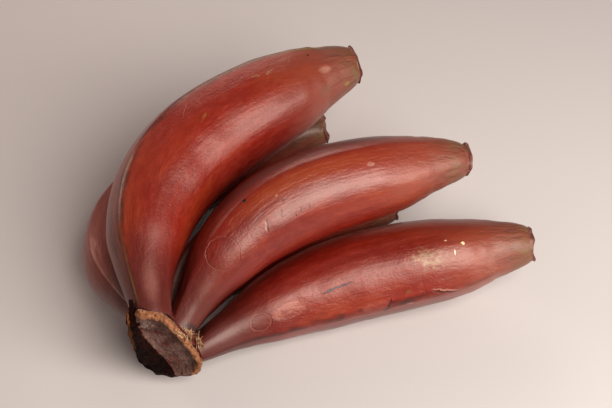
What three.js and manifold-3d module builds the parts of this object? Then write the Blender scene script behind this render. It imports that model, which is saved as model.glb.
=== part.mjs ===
// A small hand of five red bananas, joined by nature at one severed crown and lying on a surface.
// Millimetres, +Z up. The origin is under the middle of the hand, on the surface it lies on.
import * as THREE from 'three';
import { ConvexGeometry } from 'three/addons/geometries/ConvexGeometry.js';
import { mergeVertices } from 'three/addons/utils/BufferGeometryUtils.js';
import Module from 'manifold-3d';

const wasm = await Module();
wasm.setup();

// Each finger leaves the crown at its root, pointing along heading (degrees from +X, seen from above)
// and rise (degrees above level), then bends through turn degrees towards its hollow side. A lean of 0
// keeps the bend level and to the right of the heading; a positive lean tips the hollow side upwards.
// Ridge is where the first of the five lengthwise ridges stands, in degrees from the hollow side.
const fingers = {
  finger_top: {
    root: [-59, -74, 51], heading: 105, rise: 2.5, lean: 3, turn: 84, length: 168, girth: 43.6, ridge: 26,
  },
  finger_middle: {
    root: [-50, -68, 34], heading: 62.5, rise: 20, lean: -18, turn: 59, length: 148, girth: 37.2, ridge: 22,
  },
  finger_front: {
    root: [-41, -69, 20], heading: 38, rise: -5.5, lean: 25, turn: 41, length: 148, girth: 38.4, ridge: 13,
  },
  finger_back: {
    root: [-65.5, -64, 36], heading: 127.5, rise: -18, lean: 1.5, turn: 124, length: 172, girth: 34.6,
    ridge: 24,
  },
  finger_under: {
    root: [-55, -69, 18.5], heading: 83, rise: -4, lean: 5, turn: 82, length: 133, girth: 34, ridge: 20,
  },
};

// Outline of every finger: share of the length from the neck, share of the full half-girth there.
const outline = [
  [0.0, 0.34], [0.07, 0.43], [0.14, 0.57], [0.2, 0.72], [0.28, 0.84], [0.38, 0.95], [0.5, 1.0],
  [0.62, 0.985], [0.73, 0.94], [0.82, 0.82], [0.88, 0.68], [0.94, 0.585], [0.98, 0.5], [1.0, 0.36],
];
const ridgeCount = 5;
const ridgeHeight = 0.025;            // share of the half-girth that a ridge stands proud of the mean
const earlyBend = 0.46;               // share of the turn made in the bend zone, the rest is even
const bendStart = 0.08;               // bend zone, as shares of the length
const bendSpan = 0.55;
const sides = 20;                     // facets around a finger
const stepsPerSpan = 2;               // rings per outline span

// The crown is a faceted lump through three upright outlines, [x, z] each: at the back where the necks
// grow out, at its widest, and the cut face in front. Its charred side slopes away to the left.
const crownOutlines = [
  {
    y: -64,
    ring: [[-71, 44], [-71, 24], [-66, 10], [-54, 8], [-42, 11], [-39, 20], [-44, 31], [-57, 53], [-66, 52]],
  },
  {
    y: -75,
    ring: [
      [-70, 46], [-71, 24], [-68, 14], [-63, 7], [-53, 7],
      [-43, 12], [-42, 22], [-53, 50], [-60, 56], [-66, 54],
    ],
  },
  {
    y: -79,
    ring: [[-64, 44], [-62, 28], [-60, 14], [-54, 11], [-45, 14], [-43, 20], [-54, 49], [-60, 53]],
  },
];

const gap = 0.3;                      // clear space between a neck and the socket it grows from
const slab = { size: 500, height: 100 };
const weldDistance = 1e-4;            // corners closer than this are one corner

const peel = new THREE.MeshStandardMaterial({ color: 0x8c3a30, roughness: 0.42, metalness: 0 });
const driedCrown = new THREE.MeshStandardMaterial({ color: 0x3a2620, roughness: 0.85, metalness: 0 });

// Turns a closed geometry into a solid that can be cut, leaving out the collapsed triangles at the poles.
function solidOf(geometry) {
  const bare = geometry.clone();
  bare.deleteAttribute('normal');
  bare.deleteAttribute('uv');
  const merged = mergeVertices(bare, weldDistance);
  const corners = [];
  const index = merged.index.array;
  for (let i = 0; i < index.length; i += 3) {
    const [a, b, c] = [index[i], index[i + 1], index[i + 2]];
    if (a !== b && b !== c && c !== a) corners.push(a, b, c);
  }
  const vertProperties = new Float32Array(merged.attributes.position.array);
  return new wasm.Manifold(new wasm.Mesh({ numProp: 3, vertProperties, triVerts: new Uint32Array(corners) }));
}

function geometryOf(solid) {
  const cut = solid.getMesh();
  const geometry = new THREE.BufferGeometry();
  geometry.setAttribute('position', new THREE.BufferAttribute(new Float32Array(cut.vertProperties), 3));
  geometry.setIndex(new THREE.BufferAttribute(new Uint32Array(cut.triVerts), 1));
  return geometry;
}

// Share of the turn made by the time a finger has run the given share of its length.
function bendShare(share) {
  const zone = THREE.MathUtils.smoothstep(share, bendStart, bendStart + bendSpan);
  return (1 - earlyBend) * share + earlyBend * zone;
}

// The finger's midline: for each height along the straight finger, the place and the directions there.
function midline(finger, heights) {
  const heading = THREE.MathUtils.degToRad(finger.heading);
  const rise = THREE.MathUtils.degToRad(finger.rise);
  const lean = THREE.MathUtils.degToRad(finger.lean);
  const start = new THREE.Vector3(
    Math.cos(rise) * Math.cos(heading), Math.cos(rise) * Math.sin(heading), Math.sin(rise));
  const right = new THREE.Vector3(Math.sin(heading), -Math.cos(heading), 0);
  const up = right.clone().cross(start);
  const hollow = right.multiplyScalar(Math.cos(lean)).addScaledVector(up, Math.sin(lean));
  const side = start.clone().cross(hollow);
  const place = new THREE.Vector3(...finger.root);
  let height = 0;
  return heights.map((nextHeight) => {
    const middle = (height + nextHeight) / 2 / finger.length;
    const way = THREE.MathUtils.degToRad(finger.turn * bendShare(middle));
    place.addScaledVector(start, Math.cos(way) * (nextHeight - height));
    place.addScaledVector(hollow, Math.sin(way) * (nextHeight - height));
    height = nextHeight;
    const bend = THREE.MathUtils.degToRad(finger.turn * bendShare(height / finger.length));
    const inward = hollow.clone().multiplyScalar(Math.cos(bend)).addScaledVector(start, -Math.sin(bend));
    return { place: place.clone(), side, inward };
  });
}

// A finger is a turned profile with five ridges, bent along its midline. Grow widens it all round and
// lengthens it at the neck, which gives the shape of the socket in the crown.
function fingerSolid(finger, grow = 0) {
  const halfGirth = finger.girth / 2;
  const marks = outline.map(
    ([along, girth]) => new THREE.Vector2(girth * halfGirth + grow, along * finger.length));
  marks[0].y -= grow;
  const profile = new THREE.SplineCurve(marks).getPoints((outline.length - 1) * stepsPerSpan);
  const neckEnd = new THREE.Vector2(0, profile[0].y);
  const tipEnd = new THREE.Vector2(0, profile.at(-1).y);
  const closedProfile = [neckEnd, ...profile, tipEnd];
  const turned = new THREE.LatheGeometry(closedProfile, sides);
  const frames = midline(finger, closedProfile.map((mark) => mark.y));
  const ridge = THREE.MathUtils.degToRad(finger.ridge);
  const spot = new THREE.Vector3();
  const position = turned.attributes.position;
  for (let i = 0; i < position.count; i += 1) {
    const frame = frames[i % closedProfile.length];
    const [x, z] = [position.getX(i), position.getZ(i)];
    const swell = 1 + ridgeHeight * Math.cos(ridgeCount * (Math.atan2(x, z) - ridge));
    spot.copy(frame.place).addScaledVector(frame.side, x * swell).addScaledVector(frame.inward, z * swell);
    position.setXYZ(i, spot.x, spot.y, spot.z);
  }
  return solidOf(turned);
}

function crownSolid() {
  const corners = crownOutlines.flatMap(({ y, ring }) => ring.map(([x, z]) => new THREE.Vector3(x, y, z)));
  return solidOf(new ConvexGeometry(corners));
}

// The space above the surface: whatever rests on the surface is cut off flat against it.
function spaceAbove() {
  const box = new THREE.BoxGeometry(slab.size, slab.size, slab.height);
  return solidOf(box.translate(0, 0, slab.height / 2));
}

function namedMesh(name, solid, material) {
  const mesh = new THREE.Mesh(geometryOf(solid), material);
  mesh.name = name;
  return mesh;
}

const hand = new THREE.Group();
const above = spaceAbove();
let crown = crownSolid();
for (const [name, finger] of Object.entries(fingers)) {
  crown = crown.subtract(fingerSolid(finger, gap));
  hand.add(namedMesh(name, fingerSolid(finger).intersect(above), peel));
}
hand.add(namedMesh('crown', crown, driedCrown));

const bounds = new THREE.Box3().setFromObject(hand);
const centre = bounds.getCenter(new THREE.Vector3());
hand.position.set(-centre.x, -centre.y, 0);

export default hand;
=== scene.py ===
import math
import random

import bmesh
import bpy
from mathutils import Matrix, Vector
from mathutils.bvhtree import BVHTree


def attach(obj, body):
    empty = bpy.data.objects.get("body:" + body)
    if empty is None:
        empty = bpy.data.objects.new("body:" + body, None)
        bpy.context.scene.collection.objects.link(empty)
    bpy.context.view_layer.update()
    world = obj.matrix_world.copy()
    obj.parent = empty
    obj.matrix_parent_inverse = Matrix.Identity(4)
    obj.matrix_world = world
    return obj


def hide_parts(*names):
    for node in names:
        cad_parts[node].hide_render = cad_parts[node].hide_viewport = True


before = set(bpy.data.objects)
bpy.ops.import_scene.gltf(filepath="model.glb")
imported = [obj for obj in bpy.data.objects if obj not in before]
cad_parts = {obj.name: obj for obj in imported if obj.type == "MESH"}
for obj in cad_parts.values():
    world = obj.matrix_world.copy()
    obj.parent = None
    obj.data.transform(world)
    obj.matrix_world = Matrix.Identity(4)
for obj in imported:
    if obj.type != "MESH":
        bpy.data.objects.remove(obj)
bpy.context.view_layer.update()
bpy.ops.object.select_all(action="DESELECT")
scene = bpy.context.scene
mm = 0.001
layout = Vector((0.277, 10.588, 0))  # mm, from the drawing's own origin to the shared frame
print("frame loaded")

# camera

shot = {"place": (0.00028, -0.2719, 0.3871), "tilt": 38, "lens": 60.2, "sensor": 36}
bpy.ops.object.camera_add(location=shot["place"], rotation=(math.radians(shot["tilt"]), 0, 0))
camera = bpy.context.object
camera.data.lens = shot["lens"]
camera.data.sensor_width = shot["sensor"]
camera.data.clip_start = 0.01
scene.camera = camera
scene.view_settings.view_transform = "Standard"
scene.view_settings.look = "Medium High Contrast"


def linearColour(hexText):
    channels = [int(hexText[i:i + 2], 16) / 255 for i in (1, 3, 5)]
    return tuple(c / 12.92 if c <= 0.04045 else ((c + 0.055) / 1.055) ** 2.4 for c in channels) + (1.0,)


def addNode(tree, kind, sockets=None, **settings):
    node = tree.nodes.new(kind)
    for name, value in settings.items():
        setattr(node, name, value)
    for name, value in (sockets or {}).items():
        if isinstance(value, bpy.types.NodeSocket):
            tree.links.new(value, node.inputs[name])
        else:
            node.inputs[name].default_value = value
    return node


def newMaterial(name):
    material = bpy.data.materials.new(name)
    material.use_nodes = True
    material.node_tree.nodes.clear()
    return material, material.node_tree


def noiseFields(tree, place, patterns):  # one clamped 0-1 field for each pattern, sizes in mm
    fields = {}
    for label, grain in patterns.items():
        squeezed = addNode(tree, "ShaderNodeMapping", {"Vector": place, "Scale": grain["squeeze"]})
        cloud = addNode(tree, "ShaderNodeTexNoise", {
            "Vector": squeezed.outputs[0], "Scale": 1 / (grain["size"] * mm),
            "Detail": grain["detail"], "Roughness": grain.get("rough", 0.55)})
        level = addNode(tree, "ShaderNodeMapRange", {
            "Value": cloud.outputs[0], "From Min": grain["low"], "From Max": grain["high"]})
        fields[label] = level.outputs[0]
    return fields


def paint(tree, under, colour, mask, strength):  # lays one colour over another where the mask is
    share = addNode(tree, "ShaderNodeMath", {0: mask, 1: strength}, operation="MULTIPLY")
    over = addNode(tree, "ShaderNodeMix", {0: share.outputs[0], 6: under, 7: linearColour(colour)},
                   data_type="RGBA")
    return over.outputs[2]


def selectWhere(piece, part, test):
    bpy.context.view_layer.objects.active = piece
    piece.select_set(True)
    bpy.ops.object.mode_set(mode="EDIT")
    bpy.ops.mesh.select_mode(type=part)
    bpy.ops.mesh.select_all(action="DESELECT")
    shape = bmesh.from_edit_mesh(piece.data)
    found = 0
    for item in {"VERT": shape.verts, "EDGE": shape.edges, "FACE": shape.faces}[part]:
        if test(item):
            item.select_set(True)
            found += 1
    shape.select_flush_mode()
    bmesh.update_edit_mesh(piece.data)
    return found


def applyModifier(piece, kind, **settings):
    modifier = piece.modifiers.new("work", kind)
    for name, value in settings.items():
        setattr(modifier, name, value)
    bpy.ops.object.select_all(action="DESELECT")
    piece.select_set(True)
    bpy.context.view_layer.objects.active = piece
    bpy.ops.object.modifier_apply(modifier=modifier.name)


def newTexture(name, kind, size, **settings):  # size in mm
    texture = bpy.data.textures.new(name, kind)
    texture.noise_scale = size * mm
    for setting, value in settings.items():
        setattr(texture, setting, value)
    return texture


def displace(piece, texture, strength, middle=.5, **settings):  # strength in mm
    applyModifier(piece, "DISPLACE", texture=texture, strength=strength * mm, mid_level=middle,
                  texture_coords="LOCAL", **settings)


def smoothPiece(piece):
    bpy.ops.object.select_all(action="DESELECT")
    piece.select_set(True)
    bpy.context.view_layer.objects.active = piece
    bpy.ops.object.shade_smooth()
    bpy.ops.object.select_all(action="DESELECT")


def ramp(value, start, span):  # 0 before the start, 1 past the span
    return max(0, min(1, (value - start) / span))


# the fingers: each is drawn out straight, then bent and laid in its place

fingerForm = {
    "sides": 20,
    "outline": ((0, .34), (.07, .43), (.14, .57), (.2, .72), (.28, .84), (.38, .95), (.5, 1), (.62, .985),
                (.73, .94), (.82, .82), (.87, .71), (.9, .64), (.94, .56), (.97, .49), (.99, .425), (1, .365)),
    "ridgeCount": 5, "facetSink": .985, "swell": 1.012, "crease": .35, "level": 3,
    "tipLean": ((.845, -.7), (.885, -.7), (.935, -.4)),  # share of the length, mm
    "earlyBend": .46, "bendStart": .08, "bendSpan": .55,
    "lipLength": 1.1, "lipFlare": 1.1, "lipWall": .8, "lipDepth": 1.7, "coreInset": 1.6, "coreRise": .9,
    "lipRagged": 2.2, "lumpHeight": .9, "strongLift": 1.05, "bendSteps": 160,
}

fingers = {
    "finger_top": {
        "root": (-59, -74, 51), "heading": 105, "rise": 2.5, "lean": 3, "turn": 84, "length": 168,
        "girth": 43.6, "ridge": 26, "seed": 3, "lump": 31, "lineColour": "#7f6c3e", "tail": (2, .86, -12),
        "lifts": (1.03, 1.04, 1.04, 1.08, 1.0), "lined": (-118,)},
    "finger_middle": {
        "root": (-50, -68, 34), "heading": 62.5, "rise": 20, "lean": -18, "turn": 59, "length": 146.5,
        "girth": 37.2, "ridge": 22, "seed": 5, "lump": 27, "lineColour": "#5a2a1c", "tail": (4.5, 1.02, 0),
        "lifts": (1.04, 1.04, 1.04, 1.06, 1.005), "lined": ()},
    "finger_front": {
        "root": (-41, -69, 20), "heading": 38, "rise": -5.5, "lean": 25, "turn": 41, "length": 148,
        "girth": 38.4, "ridge": 13, "seed": 8, "lump": 29, "lineColour": "#3c1c14", "tail": (6, .8, 0),
        "lifts": (1.08, 1.04, 1.04, 1.04, 1.015), "lined": (13,)},
    "finger_back": {
        "root": (-65.5, -64, 36), "heading": 127.5, "rise": -18, "lean": 1.5, "turn": 124, "length": 172,
        "girth": 34.6, "ridge": 24, "seed": 13, "lump": 26, "lineColour": "#5a4426", "tail": (5, 1.04, 0),
        "lifts": (1.04, 1.04, 1.04, 1.06, 1.01), "lined": ()},
    "finger_under": {
        "root": (-55, -69, 18.5), "heading": 83, "rise": -4, "lean": 5, "turn": 82, "length": 133,
        "girth": 34, "ridge": 20, "seed": 21, "lump": 30, "lineColour": "#5a4426", "tail": (5, 1.04, 0),
        "lifts": (1.04, 1.04, 1.04, 1.04, 1.04), "lined": ()},
}


def outlineShare(s):  # share of the half-girth at that share of the length
    points = fingerForm["outline"]
    for (s0, r0), (s1, r1) in zip(points, points[1:]):
        if s <= s1:
            return r0 + (r1 - r0) * (s - s0) / (s1 - s0)
    return points[-1][1]


def bendShare(s):
    early = fingerForm["earlyBend"]
    t = min(1, max(0, (s - fingerForm["bendStart"]) / fingerForm["bendSpan"]))
    return (1 - early) * s + early * t * t * (3 - 2 * t)


def placing(finger):  # the straight finger's own axes in the shared frame
    heading, rise, lean = (math.radians(finger[k]) for k in ("heading", "rise", "lean"))
    start = Vector((math.cos(rise) * math.cos(heading), math.cos(rise) * math.sin(heading), math.sin(rise)))
    right = Vector((math.sin(heading), -math.cos(heading), 0))
    hollow = math.cos(lean) * right + math.sin(lean) * right.cross(start)
    root = (Vector(finger["root"]) + layout) * mm
    return Matrix.Translation(root) @ Matrix((start, hollow, start.cross(hollow))).transposed().to_4x4()


def bendCurve(finger):
    steps = fingerForm["bendSteps"]
    curve = bpy.data.curves.new("bendLine", "CURVE")
    curve.dimensions = "2D"
    line = curve.splines.new("POLY")
    line.points.add(steps)
    x = y = 0.0
    step = finger["length"] * mm / steps
    line.points[0].co = (0, 0, 0, 1)
    for i in range(steps):
        angle = math.radians(finger["turn"]) * bendShare((i + 0.5) / steps)
        x += math.cos(angle) * step
        y += math.sin(angle) * step
        line.points[i + 1].co = (x, y, 0, 1)
    guide = bpy.data.objects.new("bendLine", curve)
    scene.collection.objects.link(guide)
    return guide


def columnOf(vert, finger):  # 0, 4, 8, 12 and 16 are the ridges, counted round from the first one
    angle = math.degrees(math.atan2(vert.co.z, vert.co.y)) - finger["ridge"]
    return round(angle / (360 / fingerForm["sides"])) % fingerForm["sides"]


def drawFinger(name, finger):
    form = fingerForm
    half, length = finger["girth"] / 2 * mm * form["swell"], finger["length"] * mm
    stations = []
    for (s0, _), (s1, _) in zip(form["outline"], form["outline"][1:]):
        stations += [(s0 + s1) / 2, s1] if s1 - s0 > 0.02 else [s1]
    bpy.ops.mesh.primitive_circle_add(vertices=form["sides"], radius=half * outlineShare(0), fill_type="NGON")
    piece = bpy.context.object
    piece.name = piece.data.name = name + "_peel"
    piece.rotation_euler = (Matrix.Rotation(math.radians(finger["ridge"]), 3, "X")
                            @ Matrix.Rotation(math.pi / 2, 3, "Y")).to_euler()
    bpy.ops.object.transform_apply(location=True, rotation=True, scale=True)
    bpy.ops.object.mode_set(mode="EDIT")
    bpy.ops.mesh.select_mode(type="FACE")
    bpy.ops.mesh.select_all(action="SELECT")
    before = 0.0
    for s in stations:
        bpy.ops.mesh.extrude_region_move(TRANSFORM_OT_translate={"value": ((s - before) * length, 0, 0)})
        grow = outlineShare(s) / outlineShare(before)
        bpy.ops.transform.resize(value=(1, grow, grow), center_override=(s * length, 0, 0))
        before = s
    for start, lean in form["tipLean"]:  # the end leans back: the outer side runs flat, the hollow side tapers
        selectWhere(piece, "VERT", lambda v: v.co.x > (start - .005) * length)
        bpy.ops.transform.translate(value=(0, lean * mm, 0))
    selectWhere(piece, "FACE", lambda f: len(f.verts) > 4 and f.calc_center_median().x < 1e-6)
    tail, waist, tilt = finger["tail"]  # how far the neck runs into the crown, and how it narrows and leans there
    bpy.ops.mesh.extrude_region_move(TRANSFORM_OT_translate={"value": (-tail * mm, 0, 0)})
    bpy.ops.transform.resize(value=(1, waist, waist), center_override=(0, 0, 0))
    bpy.ops.transform.rotate(value=math.radians(tilt), orient_axis="Y", center_override=(-tail * mm, 0, 0))
    bpy.ops.transform.edge_crease(value=1)
    shaped = form["outline"][-5][0] * length
    perRidge = form["sides"] // form["ridgeCount"]
    for number, lift in enumerate(finger["lifts"]):
        selectWhere(piece, "VERT", lambda v: columnOf(v, finger) == number * perRidge and v.co.x < shaped)
        bpy.ops.transform.resize(value=(1, lift, lift), center_override=(0, 0, 0))
    selectWhere(piece, "VERT", lambda v: columnOf(v, finger) % perRidge == perRidge // 2 and v.co.x < shaped)
    bpy.ops.transform.resize(value=(1, form["facetSink"], form["facetSink"]), center_override=(0, 0, 0))
    strong = [number * perRidge for number, lift in enumerate(finger["lifts"]) if lift > form["strongLift"]]
    selectWhere(piece, "EDGE", lambda e: all(columnOf(v, finger) in strong for v in e.verts)
                and abs(e.verts[0].co.x - e.verts[1].co.x) > 1e-4 and max(v.co.x for v in e.verts) < shaped)
    bpy.ops.transform.edge_crease(value=form["crease"])
    selectWhere(piece, "FACE", lambda f: len(f.verts) > 4 and f.calc_center_median().x > length * 0.99)
    bpy.ops.mesh.extrude_region_move(TRANSFORM_OT_translate={"value": (form["lipLength"] * mm, 0, 0)})
    bpy.ops.transform.resize(value=(1, form["lipFlare"], form["lipFlare"]),
                             center_override=(length, 0, 0))
    bpy.ops.mesh.inset(thickness=form["lipWall"] * mm)
    bpy.ops.mesh.extrude_region_move(TRANSFORM_OT_translate={"value": (-form["lipDepth"] * mm, 0, 0)})
    bpy.ops.mesh.inset(thickness=form["coreInset"] * mm)
    bpy.ops.transform.translate(value=(form["coreRise"] * mm, 0, 0))
    selectWhere(piece, "VERT", lambda v: v.co.x > length + 0.4 * form["lipLength"] * mm)
    bpy.ops.transform.vertex_random(offset=form["lipRagged"] * mm, uniform=0.0, normal=0.0, seed=finger["seed"])
    bpy.ops.object.mode_set(mode="OBJECT")
    applyModifier(piece, "SUBSURF", levels=form["level"], render_levels=form["level"])
    storePlaces(piece, finger)
    displace(piece, newTexture("lumps", "CLOUDS", finger["lump"]), form["lumpHeight"])
    guide = bendCurve(finger)
    applyModifier(piece, "CURVE", object=guide, deform_axis="POS_X")
    bpy.data.objects.remove(guide)
    piece.matrix_world = placing(finger)
    bpy.ops.object.transform_apply(location=True, rotation=True, scale=True)
    if selectWhere(piece, "VERT", lambda v: v.co.z < 0):
        bpy.ops.transform.resize(value=(1, 1, 0), center_override=(0, 0, 0))
    bpy.ops.object.mode_set(mode="OBJECT")
    smoothPiece(piece)
    return piece


def storePlaces(piece, finger):  # where each point was on the straight finger, for marks that follow the skin
    mesh = piece.data
    places, ridges, lines, cups = [], [], [], []
    shift = sum(lean for _, lean in fingerForm["tipLean"]) * mm
    mouth = finger["girth"] / 2 * mm * fingerForm["outline"][-1][1] - .5 * mm
    for vert in mesh.vertices:
        angle = math.degrees(math.atan2(vert.co.z, vert.co.y))
        places.extend(vert.co)
        ridges.append(0.5 + 0.5 * math.cos(math.radians(5 * (angle - finger["ridge"]))))
        away = min(abs((angle - a + 180) % 360 - 180) for a in finger["lined"]) if finger["lined"] else 99
        lines.append(max(0, 1 - away / 14))
        inside = mouth - math.hypot(vert.co.y - shift, vert.co.z)
        cups.append(max(0, min(1, inside / (.8 * mm))) if vert.co.x > finger["length"] * mm * .97 else 0)
    mesh.attributes.new("straight", "FLOAT_VECTOR", "POINT").data.foreach_set("vector", places)
    for label, values in {"ridge": ridges, "lined": lines, "cup": cups}.items():
        mesh.attributes.new(label, "FLOAT", "POINT").data.foreach_set("value", values)


# the peel: waxed red banana skin

peelColour = {
    "base": "#8d2414", "rust": "#9c4522", "wine": "#6c1510", "bloom": "#b05440", "streak": "#701a12",
    "neck": "#4c1711", "shoulder": "#8e4f3e", "tip": "#80503f", "tipGreen": "#6e6440", "mauve": "#6e3c3c",
    "dry": "#744440", "core": "#3f231c", "worn": "#2e130f", "pore": "#4a130f",
}

peelFinish = {
    "roughLow": .36, "roughHigh": .45, "endDull": .22, "ior": 1.46, "coat": .65, "coatRough": .34,
    "relief": .8, "edgeWander": 2.2, "edgeShake": 1.4, "markDepth": 6,
}

peelBands = {  # attribute, where the band starts and is full, and the pattern that breaks it up
    "ridge": ("ridge", .93, .995, "bloom"), "edge": ("lined", .45, .7, "patchy"),
    "crest": ("lined", .74, .9, "bloom"),
}

peelEnds = {  # mm: from the far end where it starts and is full, but the neck from the near end
    "shoulder": (52, 16), "tip": (24, 3), "green": (12, 2), "neck": (44, 6),
}

# pattern sizes in mm; real pores and grain are finer, and are drawn this coarse so that they show
peelPatterns = {
    "zones": {"size": 26, "squeeze": (.35, 1, 1), "detail": 2, "low": .38, "high": .66},
    "rusty": {"size": 17, "squeeze": (.3, 1, 1), "detail": 2, "low": .5, "high": .72},
    "streaks": {"size": 2.2, "squeeze": (.05, 1, 1), "detail": 3, "low": .42, "high": .75},
    "fine": {"size": 1.0, "squeeze": (.12, 1, 1), "detail": 2, "low": .3, "high": .7},
    "bloom": {"size": 11, "squeeze": (.45, 1, 1), "detail": 3, "low": .42, "high": .7},
    "pores": {"size": .9, "squeeze": (1, 1, 1), "detail": 1, "low": .6, "high": .72},
    "grain": {"size": .8, "squeeze": (.7, 1, 1), "detail": 3, "low": .25, "high": .75},
    "mottle": {"size": 2.2, "squeeze": (.5, 1, 1), "detail": 3, "low": .42, "high": .66},
    "speckle": {"size": 1.4, "squeeze": (.7, 1, 1), "detail": 3, "low": .44, "high": .62},
    "patchy": {"size": 5, "squeeze": (.6, 1, 1), "detail": 4, "low": .4, "high": .62},
}

marks = {
    "finger_top": (
        {"at": (89, -78), "size": (7, 1.6), "turn": 25, "colour": "#a07a35", "strength": .8, "broken": "patchy"},
        {"at": (127, -90), "size": (6, 1.5), "turn": 20, "colour": "#a08045", "strength": .8, "broken": "patchy"},
        {"at": (120, -92), "size": (5, 1.6), "turn": -15, "colour": "#a08045", "strength": .7, "broken": "patchy"},
        {"at": (113, -99), "size": (7, 1.8), "turn": 10, "colour": "#b0736a", "strength": .8, "broken": "patchy"},
        {"at": (87, -102), "size": (10, .5), "turn": 35, "colour": "#a5605a", "strength": .7},
        {"at": (147, -102), "size": (1.6, 1.2), "turn": 0, "colour": "#2a1210", "strength": .9},
        {"at": (151, -66), "size": (9, 5), "turn": 0, "colour": "#b98a7c", "strength": .6, "soft": .8},
        {"at": (160, -16), "size": (4.5, 3), "turn": 0, "colour": "#8c8442", "strength": .8, "soft": .7},
        # painted highlight: a soft mauve-pink patch on the top finger's neck, where the light catches it
        {"at": (9, -76), "size": (26, 9), "turn": 0, "colour": "#93605a", "strength": .6, "soft": .9},
        # painted shade: a long dark band on the top finger's lower outer facet, which faces away from the light
        {"at": (30, -143), "size": (90, 9), "turn": 0, "colour": "#3a140f", "strength": .5, "soft": .95},
        {"at": (62, 168), "size": (9, .7), "turn": 12, "colour": "#3a1512", "strength": .8},
        {"at": (98, 150), "size": (14, 6), "turn": -5, "colour": "#a0604c", "strength": .5, "broken": "patchy"},
        {"at": (124, 172), "size": (2.2, 1.6), "turn": 0, "colour": "#2a1210", "strength": .85},
        {"at": (80, -160), "size": (16, 9), "turn": 8, "colour": "#9c7a5c", "strength": .5, "soft": .9,
         "broken": "speckle"},
        {"at": (148, -30), "size": (12, 8), "turn": 0, "colour": "#7d5a4a", "strength": .5, "soft": .8},
    ),
    "finger_middle": (
        {"at": (0, -42), "size": (5, 13), "turn": 0, "colour": "#2c130d", "strength": .85, "soft": .6},
        {"at": (31, -90), "size": (13.6, 13.6), "turn": 0, "colour": "#a8685c", "strength": .28, "ring": .04},
        {"at": (31, -90), "size": (12, 12), "turn": 0, "colour": "#7c2216", "strength": .15, "soft": .4},
        # painted shadow: a dark wine band on the middle finger's upper back facet, where the top finger shades it
        {"at": (76, -152), "size": (132, 17), "turn": 0, "colour": "#4a0f0e", "strength": .8, "soft": .45},
        {"at": (74, -107), "size": (120, 12), "turn": 0, "colour": "#9c4a24", "strength": .55, "soft": .8},
        {"at": (51, -120), "size": (2, 1.8), "turn": 0, "colour": "#1e0d0c", "strength": .95},
        {"at": (62, -99), "size": (2, 1.8), "turn": 0, "colour": "#a06a58", "strength": .8},
        {"at": (63, -90), "size": (2, .7), "turn": 60, "colour": "#3a1512", "strength": .8},
        {"at": (52, -73), "size": (.7, 6.5), "turn": -30, "colour": "#3a1814", "strength": .9},
        {"at": (51.2, -73), "size": (.8, 6), "turn": -30, "colour": "#c08a78", "strength": .6, "soft": .5},
        {"at": (60, -76), "size": (.6, 4), "turn": -20, "colour": "#4a201a", "strength": .8},
        {"at": (68, -69), "size": (2.4, .5), "turn": 70, "colour": "#451a16", "strength": .8},
        {"at": (72, -68), "size": (2.2, .5), "turn": 75, "colour": "#451a16", "strength": .8},
        {"at": (65, -66), "size": (2.0, .5), "turn": 60, "colour": "#451a16", "strength": .8},
        {"at": (102, -96), "size": (4, 2.4), "turn": 0, "colour": "#b8897a", "strength": .6, "broken": "patchy"},
    ),
    "finger_front": (
        {"at": (0, -120), "size": (9, 13), "turn": 0, "colour": "#2c130d", "strength": .85, "soft": .6},
        # painted shade: a long dark band along the front finger's underside, which faces away from the light
        {"at": (72, 46), "size": (160, 24), "turn": 0, "colour": "#4a130e", "strength": .7, "soft": .8},
        {"at": (59.5, -28), "size": (19, 1), "turn": 3, "colour": "#3c1a34", "strength": .95},
        {"at": (81.5, 13), "size": (1.1, 9), "turn": -35, "colour": "#170a09", "strength": .95},
        {"at": (108.5, 12), "size": (15, 1.1), "turn": -17, "colour": "#2c1310", "strength": .85},
        {"at": (108.5, 9), "size": (14, 1.2), "turn": -17, "colour": "#bf8878", "strength": .6},
        {"at": (92, 18), "size": (4, 1.8), "turn": 0, "colour": "#a98070", "strength": .8},
        {"at": (92, 0), "size": (2.6, 2), "turn": 0, "colour": "#6d6a3e", "strength": .6, "soft": .8},
        {"at": (103, -37), "size": (26, 15), "turn": -8, "colour": "#ab9478", "strength": .7, "soft": .9,
         "broken": "speckle"},
        {"at": (104, -38), "size": (17, 9), "turn": -8, "colour": "#9c8a66", "strength": .5, "soft": .8,
         "broken": "patchy"},
        {"at": (119, -51), "size": (1.8, 1.4), "turn": 0, "colour": "#f2d9ae", "strength": 1},
        {"at": (115, -39), "size": (1.2, 2.8), "turn": 0, "colour": "#e3c7b0", "strength": .9},
        {"at": (112, -57), "size": (1.2, 1.0), "turn": 0, "colour": "#dcb898", "strength": .8},
        {"at": (22, -21), "size": (9, 7), "turn": 0, "colour": "#9a5a4a", "strength": .35, "ring": .1},
        {"at": (6, -40), "size": (22, 16), "turn": 0, "colour": "#84605e", "strength": .2, "soft": .9},
        {"at": (36, -22), "size": (22, 8), "turn": 0, "colour": "#a4604f", "strength": .55, "broken": "patchy"},
        {"at": (76, 10), "size": (16, 7), "turn": 0, "colour": "#a86558", "strength": .5, "broken": "patchy"},
    ),
    "finger_back": (
        {"at": (70, -60), "size": (9, 5), "turn": 10, "colour": "#a0604c", "strength": .5, "broken": "patchy"},
        {"at": (92, -172), "size": (18, 10), "turn": -10, "colour": "#9c7a5c", "strength": .5, "soft": .9,
         "broken": "speckle"},
        {"at": (128, -150), "size": (9, .7), "turn": 20, "colour": "#3a1512", "strength": .8},
        {"at": (60, 170), "size": (2, 1.6), "turn": 0, "colour": "#2a1210", "strength": .85},
        # painted shade: a broad olive-dark patch over the back finger's tip, which sits in shade behind the others
        {"at": (166, -60), "size": (70, 60), "turn": 0, "colour": "#3c2c18", "strength": .6, "soft": .8},
        {"at": (105, -130), "size": (6, 1), "turn": 15, "colour": "#3a1512", "strength": .8},
    ),
    "finger_under": (
        {"at": (60, 100), "size": (8, 1), "turn": 10, "colour": "#3a1512", "strength": .8},
        {"at": (80, 150), "size": (10, 6), "turn": 0, "colour": "#a0604c", "strength": .5, "broken": "patchy"},
    ),
}


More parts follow.
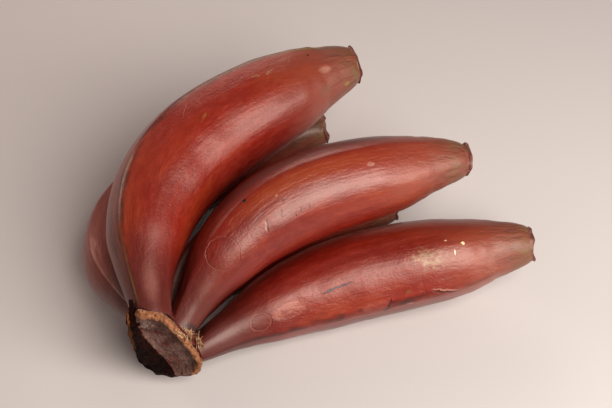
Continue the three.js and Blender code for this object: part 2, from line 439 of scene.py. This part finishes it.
def markPlace(finger, mark):  # the mark's own axes on the straight finger: along it, round it, out of it
    along, angle = mark["at"][0] * mm, math.radians(mark["at"][1])
    radius = outlineShare(mark["at"][0] / finger["length"]) * finger["girth"] / 2 * mm
    out = Vector((0, math.cos(angle), math.sin(angle)))
    turned = Matrix.Rotation(math.radians(mark["turn"]), 3, out) @ Vector((1, 0, 0))
    axes = Matrix((turned, out.cross(turned), out)).transposed()
    return Vector((along, radius * out.y, radius * out.z)), axes.to_euler()


def peelSkin(name, finger):
    # ripe banana peel under its natural wax: a satin skin that turns broad light pink,
    # with rust and wine zones, faint lengthwise streaks and a dried khaki tip
    material, tree = newMaterial("waxedRedPeel_" + name)
    length = finger["length"] * mm
    finish = peelFinish
    place = addNode(tree, "ShaderNodeAttribute", attribute_name="straight").outputs["Vector"]
    drift = addNode(tree, "ShaderNodeVectorMath", {
        0: place, 1: Vector((0.31, 0.17, 0.23)) * finger["seed"]}, operation="ADD").outputs[0]
    fields = noiseFields(tree, drift, peelPatterns)
    wobble = addNode(tree, "ShaderNodeTexNoise", {
        "Vector": drift, "Scale": 1 / (finish["edgeWander"] * mm), "Detail": 2})
    centred = addNode(tree, "ShaderNodeVectorMath", {0: wobble.outputs[1], 1: (.5, .5, .5)}, operation="SUBTRACT")
    shaken = addNode(tree, "ShaderNodeVectorMath", {
        0: centred.outputs[0], 1: (finish["edgeShake"] * mm,) * 3, 2: place}, operation="MULTIPLY_ADD").outputs[0]
    along = addNode(tree, "ShaderNodeSeparateXYZ", {0: place}).outputs[0]
    ragged = addNode(tree, "ShaderNodeMath", {0: fields["streaks"], 1: 5 * mm, 2: along}, operation="MULTIPLY_ADD")
    ends = {}
    for label, (low, high) in peelEnds.items():
        low, high = (low * mm, high * mm) if label == "neck" else (length - low * mm, length - high * mm)
        ends[label] = addNode(tree, "ShaderNodeMapRange", {
            "Value": ragged.outputs[0], "From Min": low, "From Max": high},
            interpolation_type="SMOOTHSTEP").outputs[0]
    cup = addNode(tree, "ShaderNodeAttribute", attribute_name="cup").outputs["Fac"]
    lip = addNode(tree, "ShaderNodeMapRange", {
        "Value": along, "From Min": length - .6 * mm, "From Max": length + .3 * mm}).outputs[0]
    bands = {}
    for label, (source, low, high, pattern) in peelBands.items():
        raw = addNode(tree, "ShaderNodeAttribute", attribute_name=source).outputs["Fac"]
        band = addNode(tree, "ShaderNodeMapRange", {"Value": raw, "From Min": low, "From Max": high}).outputs[0]
        bands[label] = addNode(tree, "ShaderNodeMath", {0: band, 1: fields[pattern]},
                               operation="MULTIPLY").outputs[0]
    greenPatchy = addNode(tree, "ShaderNodeMath", {0: ends["green"], 1: fields["patchy"]},
                          operation="MULTIPLY").outputs[0]
    tipStreaks = addNode(tree, "ShaderNodeMath", {0: ends["tip"], 1: fields["streaks"]},
                         operation="MULTIPLY").outputs[0]
    colour = addNode(tree, "ShaderNodeMix", {
        0: fields["zones"], 6: linearColour(peelColour["base"]), 7: linearColour(peelColour["wine"])},
        data_type="RGBA").outputs[2]
    # the dark neck band is partly the necks' own darker peel and partly painted shade, as the necks face away from
    # the light
    for mask, paintName, strength in (
            (fields["rusty"], "rust", .8), (fields["streaks"], "streak", .5), (fields["bloom"], "bloom", .12),
            (fields["grain"], "bloom", .08), (fields["mottle"], "bloom", .2), (fields["fine"], "streak", .42),
            (fields["pores"], "pore", .2), (bands["ridge"], "wine", .5), (bands["edge"], "worn", .7),
            (ends["neck"], "neck", .8), (ends["shoulder"], "shoulder", .65), (ends["tip"], "tip", .65),
            (greenPatchy, "tipGreen", .55), (tipStreaks, "mauve", .5)):
        colour = paint(tree, colour, peelColour[paintName], mask, strength)
    colour = paint(tree, colour, finger["lineColour"], bands["crest"], .8)
    raised = None
    for mark in marks[name]:
        spot, turned = markPlace(finger, mark)
        across = [mark["size"][0] / 2 * mm, mark["size"][1] / 2 * mm, finish["markDepth"] * mm]
        local = addNode(tree, "ShaderNodeMapping", {
            "Vector": shaken, "Location": spot, "Rotation": turned, "Scale": across}, vector_type="TEXTURE")
        away = addNode(tree, "ShaderNodeVectorMath", {0: local.outputs[0]}, operation="LENGTH").outputs["Value"]
        if "ring" in mark:
            off = addNode(tree, "ShaderNodeMath", {0: away, 1: 1.0}, operation="SUBTRACT")
            away = addNode(tree, "ShaderNodeMath", {0: off.outputs[0]}, operation="ABSOLUTE").outputs[0]
            low, high = mark["ring"] * 1.6, mark["ring"] * .5
        else:
            low, high = 1.0, 1.0 - mark.get("soft", .35)
        mask = addNode(tree, "ShaderNodeMapRange", {
            "Value": away, "From Min": low, "From Max": high}, interpolation_type="SMOOTHSTEP").outputs[0]
        if "broken" in mark:
            mask = addNode(tree, "ShaderNodeMath", {
                0: mask, 1: fields[mark["broken"]]}, operation="MULTIPLY").outputs[0]
        colour = paint(tree, colour, mark["colour"], mask, mark["strength"])
        if "soft" not in mark:
            raised = mask if raised is None else addNode(
                tree, "ShaderNodeMath", {0: raised, 1: mask}, operation="ADD").outputs[0]
    colour = paint(tree, colour, peelColour["dry"], lip, .8)
    colour = paint(tree, colour, peelColour["core"], cup, .85)
    rough = addNode(tree, "ShaderNodeMapRange", {
        "Value": fields["bloom"], "To Min": finish["roughLow"], "To Max": finish["roughHigh"]}).outputs[0]
    for end in ("tip", "neck"):  # both ends are dull
        rough = addNode(tree, "ShaderNodeMath", {0: ends[end], 1: finish["endDull"], 2: rough},
                        operation="MULTIPLY_ADD").outputs[0]
    height = None
    for field, amount in ((fields["grain"], .09), (fields["streaks"], -.12), (fields["patchy"], .05),
                          (fields["mottle"], .07), (fields["pores"], -.04), (tipStreaks, -.5), (raised, -.35)):
        part = addNode(tree, "ShaderNodeMath", {0: field, 1: amount}, operation="MULTIPLY").outputs[0]
        height = part if height is None else addNode(
            tree, "ShaderNodeMath", {0: height, 1: part}, operation="ADD").outputs[0]
    relief = addNode(tree, "ShaderNodeBump", {
        "Strength": finish["relief"], "Distance": 1 * mm, "Height": height})
    wax = addNode(tree, "ShaderNodeBsdfPrincipled", {
        "Base Color": colour, "Roughness": rough, "Normal": relief.outputs[0],
        "IOR": finish["ior"], "Coat Weight": finish["coat"], "Coat Roughness": finish["coatRough"]})
    addNode(tree, "ShaderNodeOutputMaterial", {"Surface": wax.outputs[0]})
    return material


fingerPieces = {}
for name, finger in fingers.items():
    piece = drawFinger(name, finger)
    piece.data.materials.append(peelSkin(name, finger))
    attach(piece, "root")
    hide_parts(name)
    fingerPieces[name] = piece
print("fingers drawn, bent and laid")

# the crown: the cut end of the bunch, with the necks growing out of it

crown = {
    "rings": (  # depth y, then the outline [x, z] of that slice, mm
        (-58, ((-68, 42), (-68, 34), (-66, 26), (-64, 19), (-60, 14.5), (-54, 13), (-48, 15), (-46, 20),
               (-49, 29), (-54, 37), (-59, 45), (-64, 46))),
        (-65, ((-69, 44), (-69.5, 35), (-69, 25), (-66.5, 16), (-63, 11.5), (-54, 9.5), (-46, 12), (-44, 19),
               (-47.5, 29.5), (-53, 39), (-58.5, 48.5), (-65, 49))),
        (-71, ((-70, 46), (-70.5, 35), (-70, 24), (-67.5, 14.5), (-63.5, 8), (-54, 6.5), (-45, 9.5), (-43, 19),
               (-47, 30.5), (-52, 42), (-57, 53), (-65, 54))),
        (-76.5, ((-69, 48.5), (-69.5, 35), (-69, 24), (-66.5, 14), (-62, 8), (-53, 7.5), (-43.7, 11),
                 (-41.8, 20.5), (-45.2, 34.5), (-49.4, 46.5), (-53.6, 56.3), (-63.5, 59.5))),
        (-79, ((-66.5, 48), (-65.5, 36), (-63.5, 28), (-61.5, 20.5), (-60, 14), (-54, 10), (-44.7, 12.5),
               (-42, 21), (-45.3, 34), (-49.4, 45.8), (-53.6, 55.5), (-62, 58.5))),
    ),
    "rim": ((-66.5, 57), (-62, 57.2), (-54.4, 54.2), (-50.2, 45.2), (-46.2, 33.6), (-43, 21.2), (-45.5, 14)),
    "rimHalf": 1.1, "rimInset": 2.1, "rimDrop": 1.5, "dishInset": 3.2, "dishDrop": 1.2,
    "charEdge": ((60, -65), (40, -63), (30, -60), (17, -55.5), (6, -51.5)),
    "voxel": .75, "rumpleSize": 5, "rumple": .8, "tornSize": 1.6, "torn": .5, "facetSize": 5, "facets": 1.8,
    "collarReach": 13, "collarBack": 3, "collarShare": .8, "collarWall": 2.6, "deadBelow": 52,
}


def crownBlock():
    rings = crown["rings"]
    bpy.ops.mesh.primitive_circle_add(vertices=len(rings[0][1]), radius=15 * mm, fill_type="NGON",
                                      location=(0, rings[0][0] * mm, 0), rotation=(math.pi / 2, 0, 0))
    block = bpy.context.object
    bpy.ops.object.transform_apply(location=True, rotation=True, scale=True)
    bpy.ops.object.mode_set(mode="EDIT")
    bpy.ops.mesh.select_mode(type="FACE")
    bpy.ops.mesh.select_all(action="SELECT")
    for number, (depth, outline) in enumerate(rings):
        if number:
            bpy.ops.mesh.extrude_region_move(
                TRANSFORM_OT_translate={"value": (0, (depth - rings[number - 1][0]) * mm, 0)})
        shape = bmesh.from_edit_mesh(block.data)
        front = next(f for f in shape.faces if f.select)
        for vert, (x, z) in zip(front.verts, outline):
            vert.co = Vector((x, depth, z)) * mm
        bmesh.update_edit_mesh(block.data)
    bpy.ops.mesh.inset(thickness=crown["rimInset"] * mm)
    bpy.ops.mesh.extrude_region_move(TRANSFORM_OT_translate={"value": (0, crown["rimDrop"] * mm, 0)})
    bpy.ops.mesh.inset(thickness=crown["dishInset"] * mm)
    bpy.ops.transform.translate(value=(0, crown["dishDrop"] * mm, 0))
    bpy.ops.mesh.select_all(action="SELECT")
    bpy.ops.mesh.normals_make_consistent(inside=False)
    bpy.ops.transform.translate(value=layout * mm)
    bpy.ops.object.mode_set(mode="OBJECT")
    return block


def neckCollar(finger):  # a short cone that runs from the crown in under the finger's skin
    half = finger["girth"] / 2
    reach, back = crown["collarReach"], crown["collarBack"]
    low = outlineShare(0) * half * crown["collarShare"]
    high = outlineShare(reach / finger["length"]) * half - crown["collarWall"]
    bpy.ops.mesh.primitive_cone_add(vertices=24, radius1=low * mm, radius2=high * mm, depth=(reach + back) * mm)
    collar = bpy.context.object
    turnToX = Matrix.Rotation(math.pi / 2, 4, "Y")
    collar.matrix_world = placing(finger) @ Matrix.Translation(((reach - back) / 2 * mm, 0, 0)) @ turnToX
    bpy.ops.object.transform_apply(location=True, rotation=True, scale=True)
    return collar


block = crownBlock()
collars = [neckCollar(finger) for finger in fingers.values()]
bpy.ops.object.select_all(action="DESELECT")
for item in [block, *collars]:
    item.select_set(True)
bpy.context.view_layer.objects.active = block
bpy.ops.object.join()
block.name = block.data.name = "crown_tissue"
applyModifier(block, "REMESH", mode="VOXEL", voxel_size=crown["voxel"] * mm)
applyModifier(block, "SMOOTH", factor=.5, iterations=3)
displace(block, newTexture("rumple", "CLOUDS", crown["rumpleSize"], noise_depth=3), crown["rumple"])
applyModifier(block, "SUBSURF", levels=1, render_levels=1)
torn = newTexture("torn", "CLOUDS", crown["tornSize"], noise_depth=2)
displace(block, torn, crown["torn"])


def distanceInside(point, line):  # how far inside the rim a point lies, nothing where it is outside
    best, inside = 1e9, True
    for a, b in zip(line, line[1:]):
        a, b = Vector(a), Vector(b)
        share = (point - a).dot(b - a) / (b - a).length_squared
        away = (point - a - (b - a) * max(0, min(1, share))).length
        if away < best:
            best, inside = away, (b - a).cross(point - a) < 0 or not 0 < share < 1
    return best if inside else 0


def charLine(z):
    edge = crown["charEdge"]
    for (z0, x0), (z1, x1) in zip(edge, edge[1:]):
        if z >= z1:
            return x0 + (x1 - x0) * (z0 - z) / (z0 - z1)
    return edge[-1][1]


def storeZones(piece):
    mesh = piece.data
    zones = {label: [] for label in ("rim", "cut", "charred", "side")}
    for vert in mesh.vertices:
        p = vert.co / mm - layout
        flat = Vector((p.x, p.z))
        rim = distanceInside(flat, crown["rim"])
        left = ramp(charLine(p.z) - p.x, -.75, 1.5)
        onFace = ramp(-p.y, 76.2, .6)
        behindRim = ramp(-p.y, 74.6, .6) * ramp(-rim, -5, 1.5) * (1 - onFace)
        below = ramp(-p.z, -13, 3) * ramp(-p.y, 72.5, 2)
        zones["rim"].append(onFace * ramp(-rim, -crown["rimHalf"] - .7, 1))
        zones["cut"].append(ramp(-p.y, 75.6, 1) * (1 - left))
        zones["charred"].append(max(left * ramp(-p.y, 60, 4), below, behindRim))
        zones["side"].append(.8 * ramp(-p.x, 66.8, 1.5) * ramp(-p.y, 73, 3.5) * ramp(p.z, 24, 9)
                             * ramp(-p.z, -52, 6))
    for label, values in zones.items():
        mesh.attributes.new(label, "FLOAT", "POINT").data.foreach_set("value", values)


storeZones(block)
dead = block.vertex_groups.new(name="dead")
for vert, value in zip(block.data.vertices, block.data.attributes["charred"].data):
    if value.value > 0 and vert.co.z < (crown["deadBelow"] + layout.z) * mm:
        dead.add([vert.index], value.value, "REPLACE")
displace(block, newTexture("facets", "VORONOI", crown["facetSize"]), crown["facets"], middle=.6,
         vertex_group="dead")

crownColour = {
    "skin": "#6a342e", "skinPale": "#84524c", "cut": "#624a46", "cutPale": "#90766e", "rim": "#a97a5c",
    "rimDark": "#54301c", "char": "#0a0403", "charBrown": "#34140c", "strip": "#8c5634", "scuff": "#b5a89e",
    "fibre": "#c2a284",
}

crownPatterns = {  # mm
    "soft": {"size": 7, "squeeze": (1, 1, 1), "detail": 4, "low": .4, "high": .65},
    "flecks": {"size": 1.1, "squeeze": (1, 1, 1), "detail": 3, "low": .45, "high": .68},
    "fibrous": {"size": 1.3, "squeeze": (1, .5, .28), "detail": 4, "low": .35, "high": .7},
    "coarse": {"size": 2.6, "squeeze": (1, 1, 1), "detail": 5, "low": .35, "high": .7},
}


def crownTissue():
    # dried, cut banana crown: matt brown tissue inside a torn corky rim, charred black where it has died back
    material, tree = newMaterial("driedCrownTissue")
    place = addNode(tree, "ShaderNodeTexCoord").outputs["Object"]
    fields = noiseFields(tree, place, crownPatterns)
    zone = {}
    for label in ("rim", "cut", "charred", "side"):
        flat = addNode(tree, "ShaderNodeAttribute", attribute_name=label).outputs["Fac"]
        ragged = addNode(tree, "ShaderNodeMath", {0: fields["coarse"], 1: .45, 2: flat}, operation="MULTIPLY_ADD")
        zone[label] = addNode(tree, "ShaderNodeMapRange", {
            "Value": ragged.outputs[0], "From Min": .55, "From Max": .85}).outputs[0]
    scuffed = addNode(tree, "ShaderNodeMapping", {
        "Vector": place, "Location": (Vector((-61, -78, 49)) + layout) * mm, "Scale": (3.4 * mm, 4 * mm, 4.5 * mm)},
        vector_type="TEXTURE")
    away = addNode(tree, "ShaderNodeVectorMath", {0: scuffed.outputs[0]}, operation="LENGTH").outputs["Value"]
    scuff = addNode(tree, "ShaderNodeMapRange", {"Value": away, "From Min": 1, "From Max": .3}).outputs[0]
    broken = addNode(tree, "ShaderNodeMath", {0: scuff, 1: fields["flecks"]}, operation="MULTIPLY").outputs[0]
    colour = addNode(tree, "ShaderNodeMix", {
        0: fields["soft"], 6: linearColour(crownColour["skin"]), 7: linearColour(crownColour["skinPale"])},
        data_type="RGBA").outputs[2]
    fibrousChar = addNode(tree, "ShaderNodeMath", {
        0: zone["charred"], 1: fields["soft"]}, operation="MULTIPLY").outputs[0]
    cutPale = addNode(tree, "ShaderNodeMath", {0: zone["cut"], 1: fields["soft"]}, operation="MULTIPLY").outputs[0]
    rimDark = addNode(tree, "ShaderNodeMath", {0: zone["rim"], 1: fields["flecks"]}, operation="MULTIPLY").outputs[0]
    for mask, paintName, strength in (
            (zone["charred"], "char", .96), (fibrousChar, "charBrown", .6), (zone["cut"], "cut", .96),
            (cutPale, "cutPale", .7), (broken, "scuff", .8), (zone["rim"], "rim", .95), (rimDark, "rimDark", .7),
            (zone["side"], "strip", .8)):
        colour = paint(tree, colour, crownColour[paintName], mask, strength)
    height = None
    for field, amount in ((fields["fibrous"], .5), (fields["flecks"], .3), (fields["coarse"], .5)):
        part = addNode(tree, "ShaderNodeMath", {0: field, 1: amount}, operation="MULTIPLY").outputs[0]
        height = part if height is None else addNode(
            tree, "ShaderNodeMath", {0: height, 1: part}, operation="ADD").outputs[0]
    relief = addNode(tree, "ShaderNodeBump", {"Strength": .9, "Distance": 1 * mm, "Height": height})
    rough = addNode(tree, "ShaderNodeMapRange", {"Value": zone["charred"], "To Min": .8, "To Max": .7}).outputs[0]
    tissue = addNode(tree, "ShaderNodeBsdfPrincipled", {
        "Base Color": colour, "Roughness": rough, "Normal": relief.outputs[0], "IOR": 1.45,
        "Specular IOR Level": .12})
    addNode(tree, "ShaderNodeOutputMaterial", {"Surface": tissue.outputs[0]})
    return material


block.data.materials.append(crownTissue())
smoothPiece(block)
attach(block, "root")
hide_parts("crown")
print("crown grown and cut")

# the dried flap that stands beside the top finger's neck

flap = {"size": (5.4, 10.5), "wall": .8, "taper": .42, "curl": 30, "torn": .9,
        "middle": (-65.9, -75.6, 55), "up": (-.1, .75, .65), "across": (.92, -.28, .25)}


def driedFlap():
    wide, tall = flap["size"]
    bpy.ops.mesh.primitive_grid_add(x_subdivisions=6, y_subdivisions=10, size=1)
    piece = bpy.context.object
    piece.name = piece.data.name = "crown_flap"
    piece.scale = (wide * mm, tall * mm, 1)
    bpy.ops.object.transform_apply(location=True, rotation=True, scale=True)
    for share in (.1, .3):  # it narrows towards its free end
        selectWhere(piece, "VERT", lambda v: v.co.y > share * tall * mm)
        bpy.ops.transform.resize(value=(1 - flap["taper"], 1, 1), center_override=(0, 0, 0))
    bpy.ops.object.mode_set(mode="OBJECT")
    applyModifier(piece, "SOLIDIFY", thickness=flap["wall"] * mm, offset=0)
    applyModifier(piece, "SIMPLE_DEFORM", deform_method="BEND", deform_axis="Y", angle=math.radians(flap["curl"]))
    applyModifier(piece, "SUBSURF", levels=2, render_levels=2)
    displace(piece, torn, flap["torn"])
    up, across = Vector(flap["up"]).normalized(), Vector(flap["across"])
    across = (across - up * across.dot(up)).normalized()
    spot = (Vector(flap["middle"]) + layout) * mm
    piece.matrix_world = Matrix.Translation(spot) @ Matrix((across, up, across.cross(up))).transposed().to_4x4()
    bpy.ops.object.transform_apply(location=True, rotation=True, scale=True)
    count = len(piece.data.vertices)
    outer = [-5 * ((v.co - spot).dot(across) / (wide / 2 * mm) + .4) for v in piece.data.vertices]
    zones = {"charred": [1.0] * count, "rim": [0.0] * count, "cut": [0.0] * count,
             "side": [max(0.0, min(.75, share)) for share in outer]}
    for label, values in zones.items():
        piece.data.attributes.new(label, "FLOAT", "POINT").data.foreach_set("value", values)
    return piece


# frayed strands over the notch between the middle and front necks

strands = {"count": 120, "points": 6, "length": (2.5, 6.5), "thick": (.1, .24), "lift": .25,
           "band": ((-51, 44), (-47.7, 38), (-44, 30)), "depth": -76.5, "width": 2.8, "spread": 90,
           "reach": 30, "longestStep": 4.5, "fewestPoints": 4}


def frayedStrands():
    chance = random.Random(17)
    looking = Vector((0, math.sin(math.radians(shot["tilt"])), -math.cos(math.radians(shot["tilt"]))))
    skins = [BVHTree.FromPolygons([v.co for v in item.data.vertices], [list(f.vertices) for f in item.data.polygons])
             for item in (block, fingerPieces["finger_middle"], fingerPieces["finger_front"])]
    line = bpy.data.curves.new("strands", "CURVE")
    line.dimensions = "3D"
    line.bevel_depth = 1 * mm
    line.bevel_resolution = 1
    line.use_fill_caps = True
    first, knee, last = (Vector((x, strands["depth"], z)) for x, z in strands["band"])
    for _ in range(strands["count"]):
        t = chance.uniform(0, 2)
        start = first.lerp(knee, t) if t < 1 else knee.lerp(last, t - 1)
        start = start + Vector((1, 0, .5)) * chance.uniform(0, strands["width"])
        run = (last - first).normalized()
        run.rotate(Matrix.Rotation(math.radians(chance.gauss(0, strands["spread"] / 2)), 3, looking))
        long = chance.uniform(*strands["length"])
        thick = chance.uniform(*strands["thick"])
        laid = []
        for i in range(strands["points"]):
            t = i / (strands["points"] - 1)
            aim = (start + run * (t - .5) * long + layout) * mm - looking * strands["reach"] * mm
            tries = [skin.ray_cast(aim, looking, 2 * strands["reach"] * mm) for skin in skins]
            hits = [hit for hit in tries if hit[0]]
            if hits:
                near = min(hits, key=lambda hit: hit[3])
                lift = strands["lift"] * (.6 + chance.random() * math.sin(math.pi * t))
                laid.append(near[0] + near[1] * lift * mm)
        steps = [(b - a).length for a, b in zip(laid, laid[1:])]
        if len(laid) < strands["fewestPoints"] or max(steps) > strands["longestStep"] * mm:
            continue
        spline = line.splines.new("NURBS")
        spline.points.add(len(laid) - 1)
        spline.order_u = 3
        spline.use_endpoint_u = True
        for point, place in zip(spline.points, laid):
            point.co = (*place, 1)
            point.radius = thick * chance.uniform(.6, 1.2)
    holder = bpy.data.objects.new("crown_strands", line)
    scene.collection.objects.link(holder)
    bpy.ops.object.select_all(action="DESELECT")
    holder.select_set(True)
    bpy.context.view_layer.objects.active = holder
    bpy.ops.object.convert(target="MESH")
    piece = bpy.context.object
    piece.name = piece.data.name = "crown_strands"
    return piece


def strandFibre():
    # dry plant fibre: matt, straw-pale, browner in random patches
    material, tree = newMaterial("frayedCrownFibre")
    place = addNode(tree, "ShaderNodeTexCoord").outputs["Object"]
    fields = noiseFields(tree, place, {"patch": {
        "size": 1.5, "squeeze": (1, 1, 1), "detail": 3, "low": .38, "high": .66}})
    colour = addNode(tree, "ShaderNodeMix", {
        0: fields["patch"], 6: linearColour(crownColour["fibre"]), 7: linearColour(crownColour["rimDark"])},
        data_type="RGBA").outputs[2]
    straw = addNode(tree, "ShaderNodeBsdfPrincipled", {
        "Base Color": colour, "Roughness": .8, "Specular IOR Level": .2})
    addNode(tree, "ShaderNodeOutputMaterial", {"Surface": straw.outputs[0]})
    return material


for piece, finish in ((driedFlap(), block.data.materials[0]), (frayedStrands(), strandFibre())):
    piece.data.materials.append(finish)
    smoothPiece(piece)
    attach(piece, "root")
print("flap and strands laid")

# floor and light

studio = {
    "floor": "#cccdd1", "floorSize": 4.0,
    "lights": (
        {"name": "key", "place": (.23, -.31, .48), "size": .42, "power": 3.7, "colour": "#fff0e2"},
        {"name": "side", "place": (.6, -.3, .3), "size": .32, "power": 1.6, "colour": "#fff0e4"},
        {"name": "left", "place": (-.8, .4, .4), "size": .5, "power": 2.1, "colour": "#ffdac8"},
        {"name": "back", "place": (-.15, .75, .38), "size": .5, "power": 1.5, "colour": "#ffe6d8"},
    ),
    "room": "#ffffff", "roomLevel": .055,
}

bpy.ops.mesh.primitive_plane_add(size=studio["floorSize"])
floor = bpy.context.object
floor.name = "floor"
paper, tree = newMaterial("matPaperFloor")
sheet = addNode(tree, "ShaderNodeBsdfPrincipled", {
    "Base Color": linearColour(studio["floor"]), "Roughness": .9})
addNode(tree, "ShaderNodeOutputMaterial", {"Surface": sheet.outputs[0]})
floor.data.materials.append(paper)

for light in studio["lights"]:
    bpy.ops.object.light_add(type="AREA", location=light["place"])
    lamp = bpy.context.object
    lamp.name = light["name"]
    lamp.data.shape = "DISK"
    lamp.data.size = light["size"]
    lamp.data.energy = light["power"]
    lamp.data.color = linearColour(light["colour"])[:3]
    lamp.rotation_euler = (-Vector(light["place"])).to_track_quat("-Z", "Y").to_euler()

world = bpy.data.worlds.new("room")
world.use_nodes = True
room = world.node_tree.nodes["Background"]
room.inputs["Color"].default_value = linearColour(studio["room"])
room.inputs["Strength"].default_value = studio["roomLevel"]
scene.world = world
print("floor and light set")
